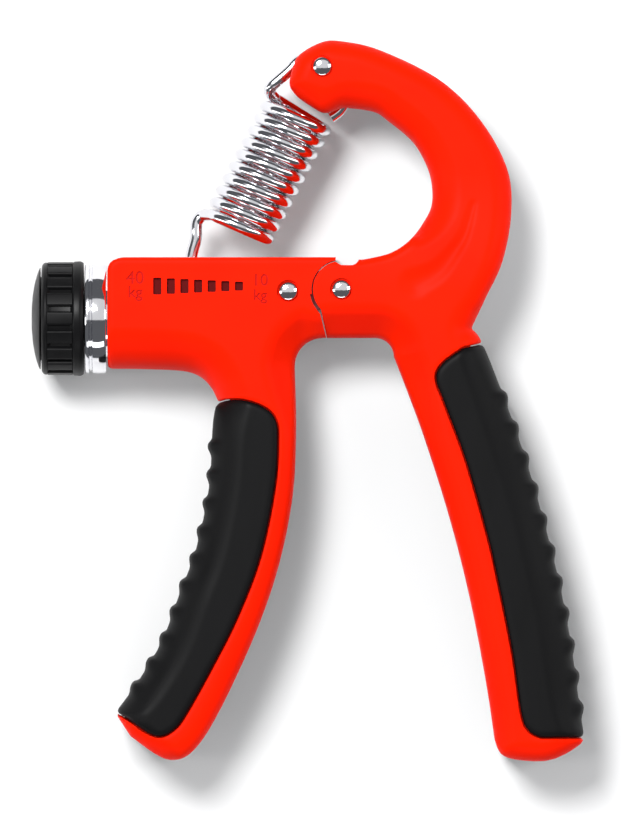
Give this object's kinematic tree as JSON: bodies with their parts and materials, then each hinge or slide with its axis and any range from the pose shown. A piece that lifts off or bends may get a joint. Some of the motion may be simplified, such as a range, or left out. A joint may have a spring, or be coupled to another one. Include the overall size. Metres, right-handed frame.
{
  "type": "adjustable hand exerciser",
  "caption": "Adjustable spring hand gripper: two curved handles on a pivot, a C arm, an extension spring and a knob that sets the load.",
  "frame": {"origin": "centre of the part's box, on the surface that it lies on: the plane of the handles' back faces", "axes": "+X from the knob towards the C arm, +Y up the handles to the top of the C arm, +Z out of the front face; the part lies flat on its back"},
  "size_m": [0.1182, 0.1548, 0.0252],
  "materials": {
    "red_plastic": "moulded ABS, soft gloss",
    "black_rubber": "satin rubber over-mould, ribbed at the back",
    "black_plastic": "satin moulded nylon",
    "washer_plastic": "acetal, plain",
    "spring_chrome": "chrome-plated spring wire",
    "bright_chrome": "polished chrome plate",
    "steel": "zinc-plated steel",
    "brass": "turned brass"
  },
  "bodies": {
    "left_handle": {"left_handle": "red_plastic", "left_grip": "black_rubber", "hinge_plate": "steel", "plate_rivet": "bright_chrome", "plate_rivet_washer": "steel", "pivot_rivet": "bright_chrome", "pivot_rivet_washer": "steel", "collar": "bright_chrome", "screw_bush": "brass", "inner_thrust_washer": "steel", "outer_thrust_washer": "washer_plastic"},
    "right_handle": {"right_handle": "red_plastic", "right_grip": "black_rubber", "spring_rivet": "bright_chrome", "spring_rivet_washer": "steel"},
    "knob": {"knob": "black_plastic", "knob_cap": "black_plastic", "knob_screw": "steel", "knob_screw_washer": "steel", "lead_screw": "steel", "retaining_clip": "steel"},
    "carriage": {"carriage": "washer_plastic", "carriage_nut": "brass"},
    "spring_hook": {"spring_pin": "steel", "spring_hook": "spring_chrome"},
    "spring_coil_lower": {"spring_coil_lower": "spring_chrome"},
    "spring_coil_upper": {"spring_coil_upper": "spring_chrome"},
    "spring_loop": {"spring_loop": "spring_chrome"}
  },
  "joints": [
    {"name": "squeeze", "type": "hinge", "parent": "left_handle", "child": "right_handle", "pos_m": [0.00705, 0.02389, 0.0125], "axis": [0, 0, -1], "range_deg": [0, 32], "stiffness_Nm_per_rad": 4.5, "springref_deg": -22.92},
    {"name": "carriage_slide", "type": "slide", "parent": "left_handle", "child": "carriage", "axis": [1, 0, 0], "range_m": [-0.0111, 0.0065]},
    {"name": "knob_turn", "type": "hinge", "parent": "left_handle", "child": "knob", "pos_m": [-0.05295, 0.01769, 0.0125], "axis": [-1, 0, 0], "range_deg": [-1606, 944]},
    {"name": "spring_tilt_by_squeeze", "type": "hinge", "parent": "carriage", "child": "spring_hook", "pos_m": [-0.02165, 0.02489, 0.0125], "axis": [0, 0, -1], "range_deg": [0, 23]},
    {"name": "spring_tilt_by_setting", "type": "hinge", "parent": "spring_hook", "child": "spring_coil_lower", "pos_m": [-0.02165, 0.02489, 0.0125], "axis": [0, 0, 1], "range_deg": [-10.2, 6]},
    {"name": "spring_stretch_by_squeeze", "type": "slide", "parent": "spring_coil_lower", "child": "spring_coil_upper", "axis": [0.4653, 0.8852, 0], "range_m": [0, 0.0127], "deforming": ["spring_coil_lower", "spring_coil_upper", "spring_hook"]},
    {"name": "spring_stretch_by_setting", "type": "slide", "parent": "spring_coil_upper", "child": "spring_loop", "axis": [0.4653, 0.8852, 0], "range_m": [-0.0034, 0.0058], "deforming": ["spring_loop"]}
  ],
  "couplings": [
    {"joint": "knob_turn", "follows": "carriage_slide", "rad_per_m": 2513.3},
    {"joint": "spring_tilt_by_setting", "follows": "carriage_slide", "rad_per_m": 15.533},
    {"joint": "spring_tilt_by_squeeze", "follows": "squeeze", "ratio": 0.71},
    {"joint": "spring_stretch_by_squeeze", "follows": "squeeze", "m_per_rad": 0.022381},
    {"joint": "spring_stretch_by_setting", "follows": "carriage_slide", "ratio": -0.51}
  ]
}
